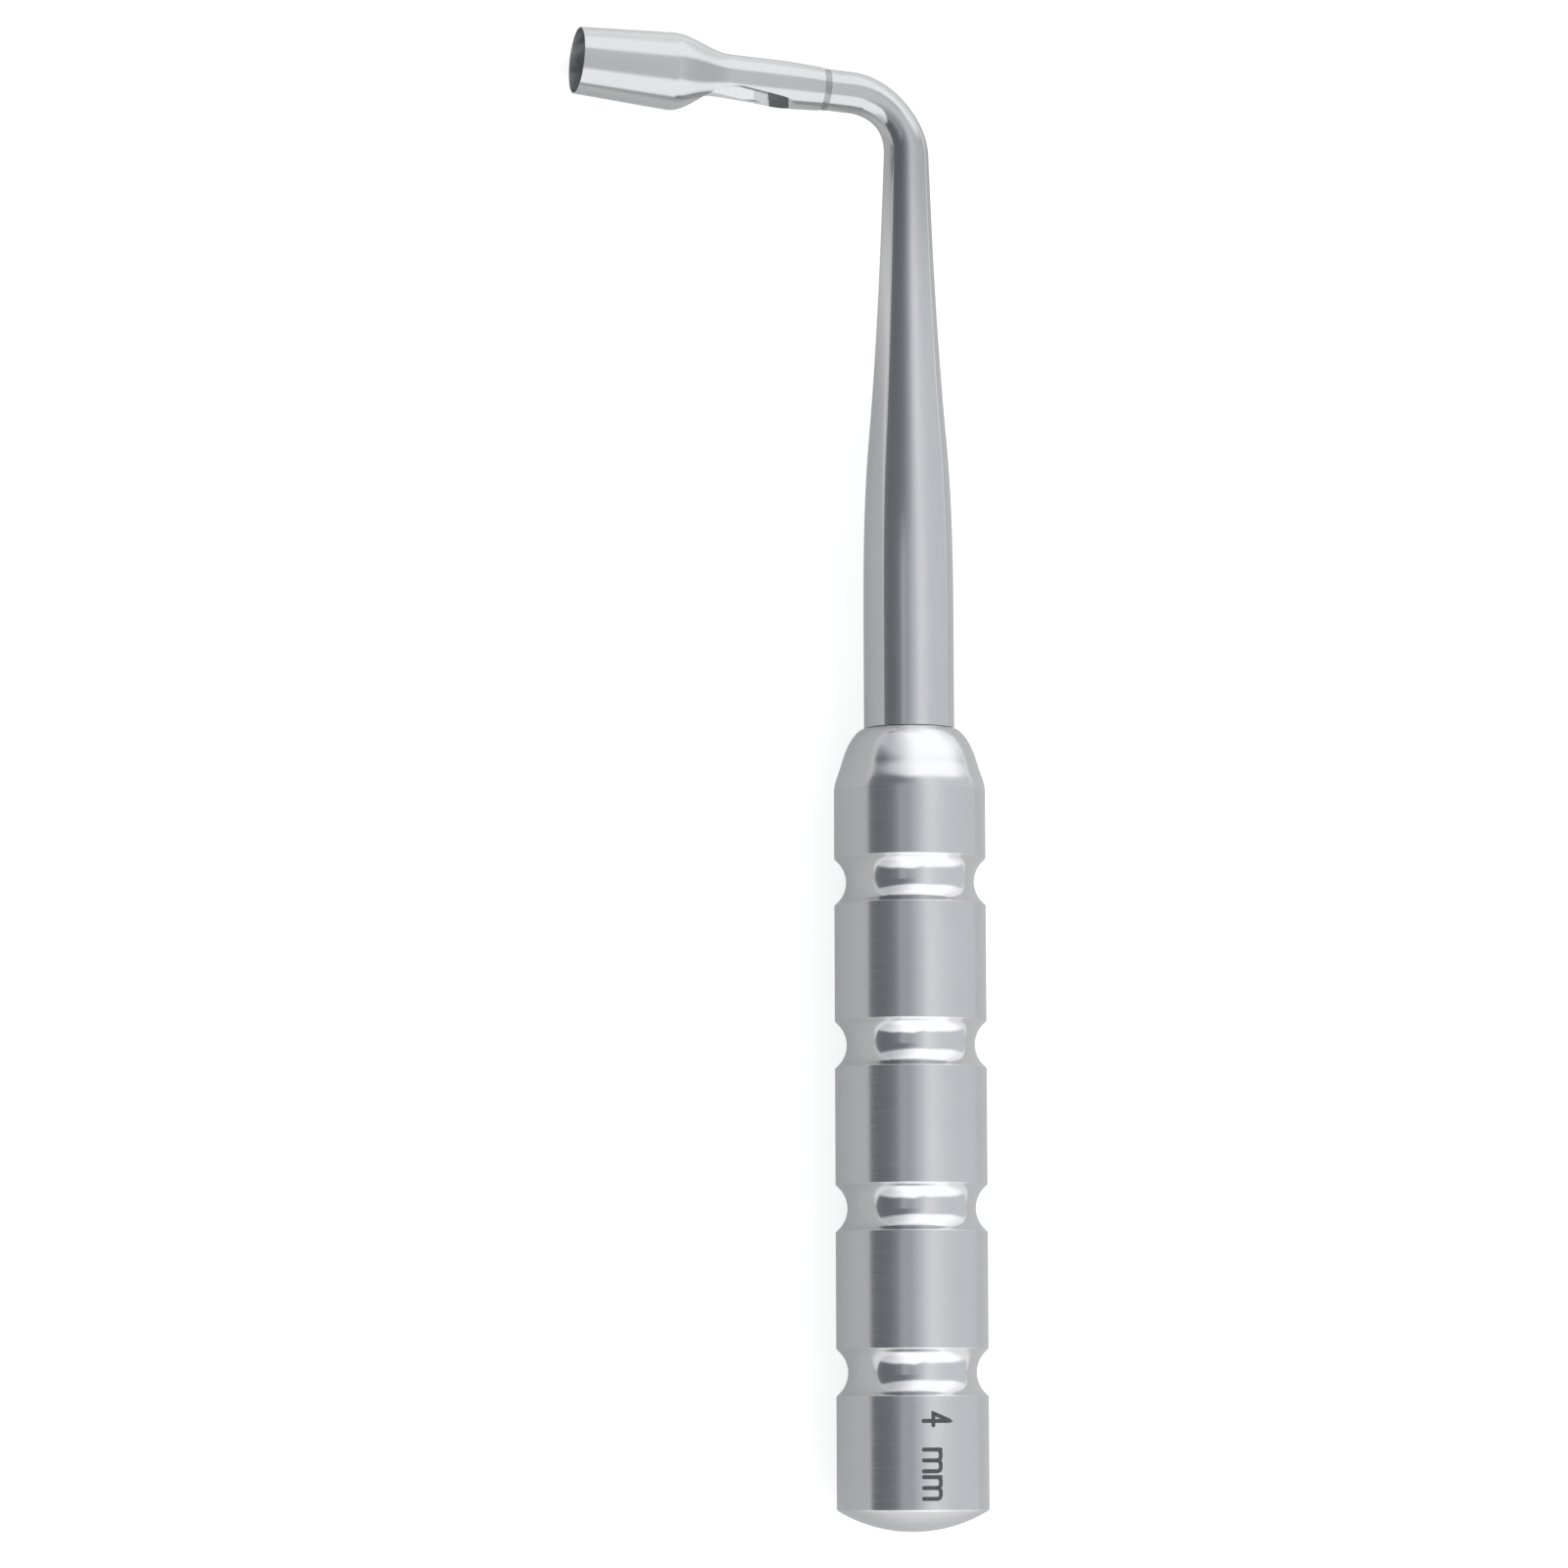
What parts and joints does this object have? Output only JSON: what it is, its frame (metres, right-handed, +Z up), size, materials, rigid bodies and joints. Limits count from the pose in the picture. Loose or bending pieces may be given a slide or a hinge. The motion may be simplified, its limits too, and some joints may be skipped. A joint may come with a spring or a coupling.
{
  "type": "tissue punch",
  "caption": "Right-angled stainless tissue punch with a ring-grooved handle, a bent tapering shank and a hollow cutting head with a clearing window.",
  "frame": {"origin": "on the surface the instrument lies on, under the middle of its box", "axes": "+Y along the handle from the domed butt to the bend, +Z up from the surface; the head points to -X and its mouth rim rests on the surface"},
  "size_m": [0.0258, 0.092, 0.0093],
  "materials": {
    "satin_steel": "turned satin on the lands, polished in the grooves",
    "polished_steel": "bright satin"
  },
  "bodies": {
    "root": {"handle": "satin_steel", "shank": "polished_steel", "punch_head": "polished_steel"}
  },
  "joints": []
}
